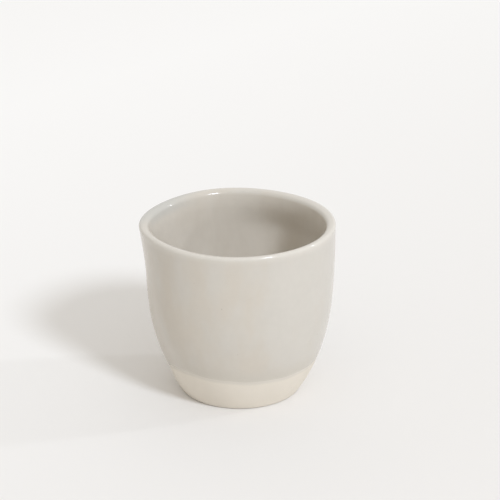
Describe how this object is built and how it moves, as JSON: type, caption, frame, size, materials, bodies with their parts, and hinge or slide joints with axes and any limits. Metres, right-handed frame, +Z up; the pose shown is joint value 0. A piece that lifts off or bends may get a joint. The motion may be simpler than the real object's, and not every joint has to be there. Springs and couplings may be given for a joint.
{
  "type": "espresso cup",
  "caption": "Small handleless espresso cup with a rounded, slightly uneven rim, a glossy warm-grey glaze inside and out, and a bare cream porcelain foot.",
  "frame": {"origin": "on the surface that the cup stands on, under the middle of its outline seen from above", "axes": "+Z up out of the mouth; -Y is the front; the rim is drawn out a little towards -X"},
  "size_m": [0.0658, 0.0643, 0.0603],
  "materials": {
    "biscuit_porcelain": "bare fired porcelain, matt, cream",
    "grey_glaze": "glossy pale warm-grey glaze, a little lighter on the lip"
  },
  "bodies": {
    "root": {"porcelain_body": "biscuit_porcelain", "outer_glaze": "grey_glaze", "liner_glaze": "grey_glaze"}
  },
  "joints": []
}
